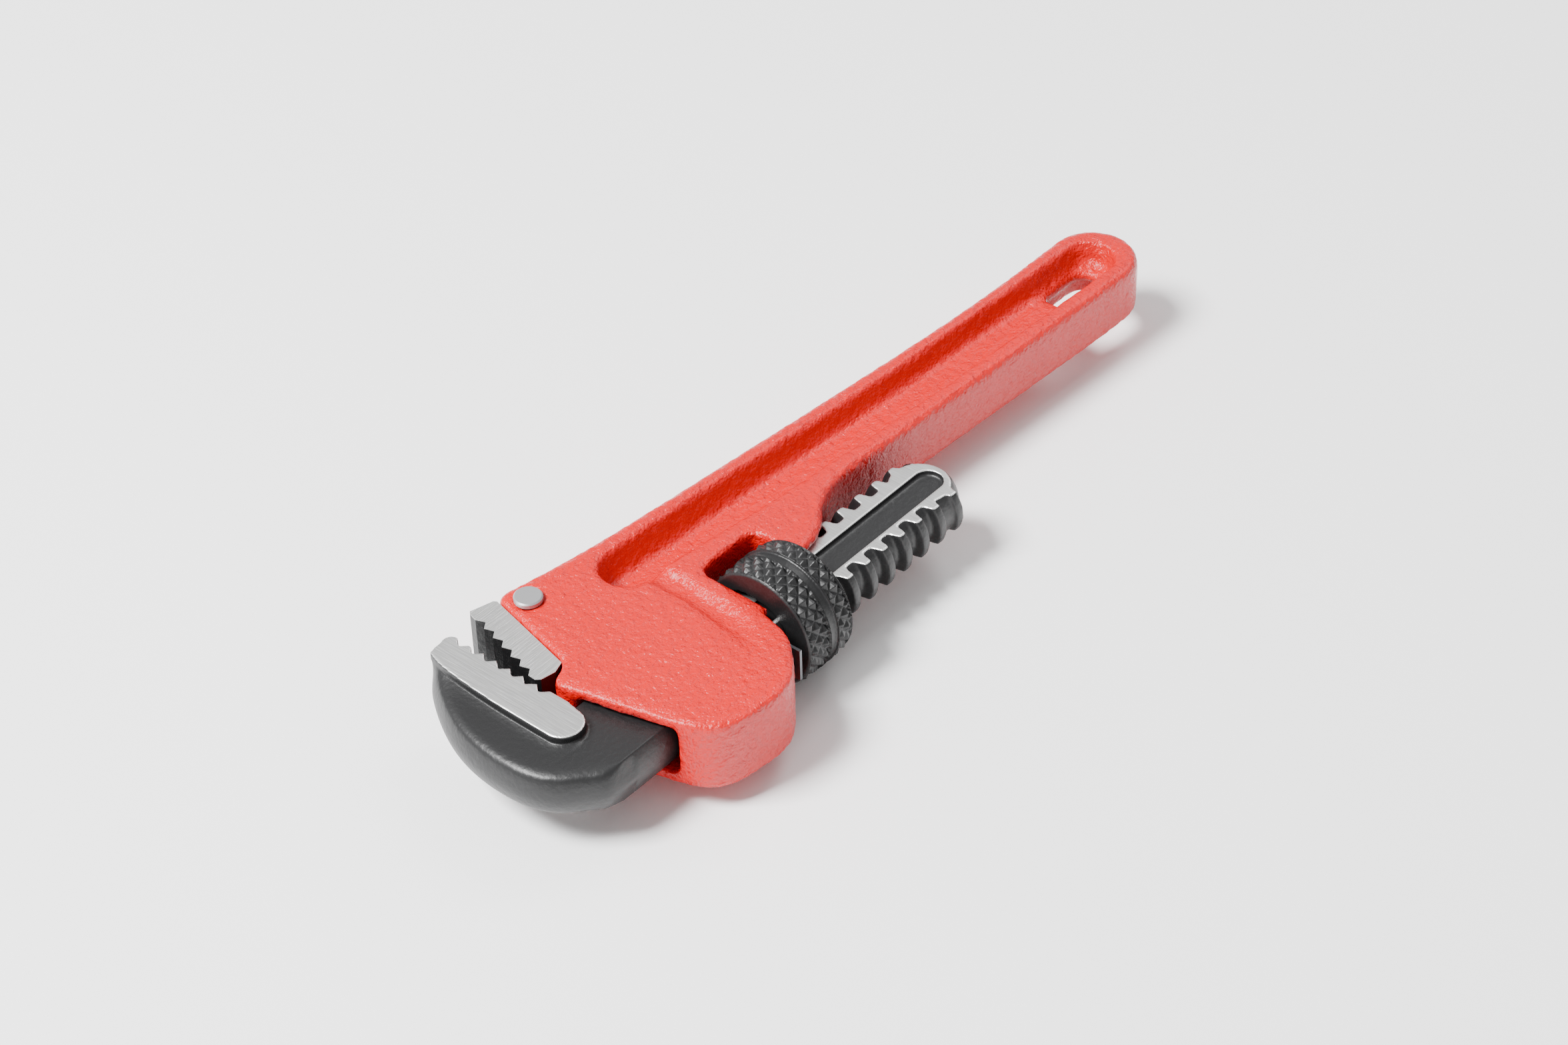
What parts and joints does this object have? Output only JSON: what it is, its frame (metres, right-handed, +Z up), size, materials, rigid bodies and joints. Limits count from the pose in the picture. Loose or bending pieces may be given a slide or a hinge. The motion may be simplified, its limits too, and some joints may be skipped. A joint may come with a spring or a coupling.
{
  "type": "pipe wrench",
  "caption": "Heavy-duty adjustable pipe wrench with a red cast handle, a sliding toothed hook jaw, a pinned heel jaw and a knurled adjusting nut.",
  "frame": {"origin": "centre of the bounding box in X and Y, at the lowest point of the adjusting nut", "axes": "+X along the shank from the jaws to the handle end, +Y towards the heel jaw's pin, +Z up out of the face with the pin head"},
  "size_m": [0.1898, 0.0578, 0.0244],
  "materials": {
    "red_enamel": "gloss enamel over an as-cast surface",
    "black_forging": "satin black over a forged surface, with ground bright faces",
    "ground_steel": "ground",
    "spring_steel": "dark"
  },
  "bodies": {
    "handle": {"handle_body": "red_enamel", "heel_jaw": "ground_steel", "heel_jaw_pin": "ground_steel", "flat_spring": "spring_steel", "coil_spring": "spring_steel"},
    "hook_jaw": {"hook_jaw": "black_forging"},
    "adjusting_nut": {"adjusting_nut": "black_forging"}
  },
  "joints": [
    {"name": "jaw_slide", "type": "slide", "parent": "handle", "child": "hook_jaw", "axis": [-1, 0, 0], "range_m": [0, 0.025]},
    {"name": "nut_spin", "type": "hinge", "parent": "handle", "child": "adjusting_nut", "pos_m": [-0.03029, -0.00976, 0.0122], "axis": [1, 0, 0], "range_deg": [-5, 1810]}
  ],
  "couplings": [
    {"joint": "nut_spin", "follows": "jaw_slide", "rad_per_m": 1256.6}
  ]
}
